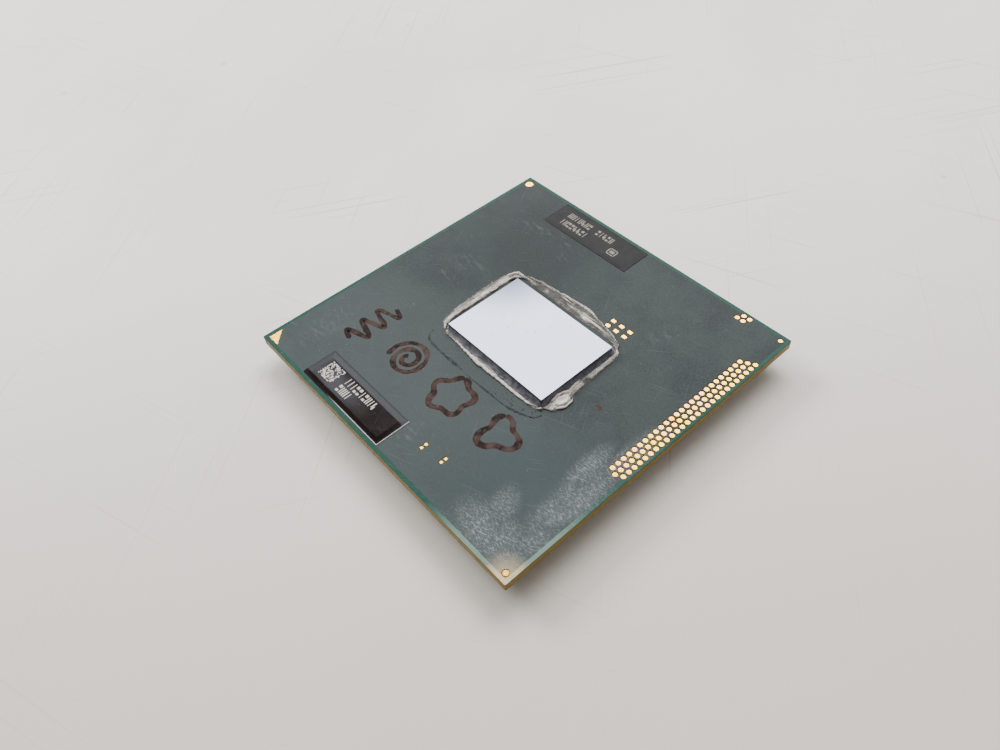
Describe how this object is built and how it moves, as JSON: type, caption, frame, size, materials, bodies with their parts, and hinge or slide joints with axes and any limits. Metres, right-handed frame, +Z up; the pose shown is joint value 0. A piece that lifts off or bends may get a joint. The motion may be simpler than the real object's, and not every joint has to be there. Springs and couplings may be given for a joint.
{
  "type": "cpu processor",
  "caption": "Square bare-die processor package: a green laminate with a polished silicon die, underfill, gold lands and marking panels on top, and a field of gold pins round a cavity below.",
  "frame": {"origin": "middle of the package, on the plane of the pin tips that it stands on", "axes": "+Z up out of the die's face; +X and +Y along the package's sides, with the pin-one corner at -X +Y"},
  "size_m": [0.0376, 0.0376, 0.0038],
  "materials": {
    "substrate_core": "satin",
    "buildup_resin": "satin",
    "copper_plane": "satin",
    "solder_mask": "satin",
    "silicon": "polished",
    "solder": "satin",
    "underfill": "gloss",
    "dried_paste": "matte",
    "gloss_ink": "gloss",
    "dull_ink": "matte",
    "gold_plating": "satin",
    "capacitor_ceramic": "matte"
  },
  "bodies": {
    "root": {"substrate_core": "substrate_core", "upper_buildup": "buildup_resin", "lower_buildup": "buildup_resin", "upper_copper_plane": "copper_plane", "upper_solder_mask": "solder_mask", "lower_mask_rim": "solder_mask", "lower_mask_centre": "solder_mask", "silicon_die": "silicon", "solder_bump_layer": "solder", "underfill_fillet": "underfill", "thermal_paste_residue": "dried_paste", "marking_panel_west": "gloss_ink", "marking_panel_east": "dull_ink", "pin_bank_north": "gold_plating", "pin_bank_south": "gold_plating", "pin_bank_west": "gold_plating", "pin_bank_east": "gold_plating", "pin_one_mark": "gold_plating", "fiducial_northeast": "gold_plating", "fiducial_southwest": "gold_plating", "fiducial_southeast": "gold_plating", "corner_land_1": "gold_plating", "corner_land_2": "gold_plating", "corner_land_3": "gold_plating", "corner_land_4": "gold_plating", "square_pad_1": "gold_plating", "square_pad_2": "gold_plating", "square_pad_3": "gold_plating", "square_pad_4": "gold_plating", "square_pad_5": "gold_plating", "square_pad_6": "gold_plating", "small_pad_1": "gold_plating", "small_pad_2": "gold_plating", "small_pad_3": "gold_plating", "small_pad_4": "gold_plating", "test_land_row_1": "gold_plating", "test_land_row_2": "gold_plating", "test_land_row_3": "gold_plating", "bypass_capacitor_01": "capacitor_ceramic", "bypass_capacitor_02": "capacitor_ceramic", "bypass_capacitor_03": "capacitor_ceramic", "bypass_capacitor_04": "capacitor_ceramic", "bypass_capacitor_05": "capacitor_ceramic", "bypass_capacitor_06": "capacitor_ceramic", "bypass_capacitor_07": "capacitor_ceramic", "bypass_capacitor_08": "capacitor_ceramic", "bypass_capacitor_09": "capacitor_ceramic", "bypass_capacitor_10": "capacitor_ceramic", "bypass_capacitor_11": "capacitor_ceramic", "bypass_capacitor_12": "capacitor_ceramic", "bypass_capacitor_13": "capacitor_ceramic", "bypass_capacitor_14": "capacitor_ceramic", "bypass_capacitor_15": "capacitor_ceramic", "bypass_capacitor_16": "capacitor_ceramic", "bypass_capacitor_17": "capacitor_ceramic", "bypass_capacitor_18": "capacitor_ceramic", "bypass_capacitor_19": "capacitor_ceramic", "bypass_capacitor_20": "capacitor_ceramic"}
  },
  "joints": []
}
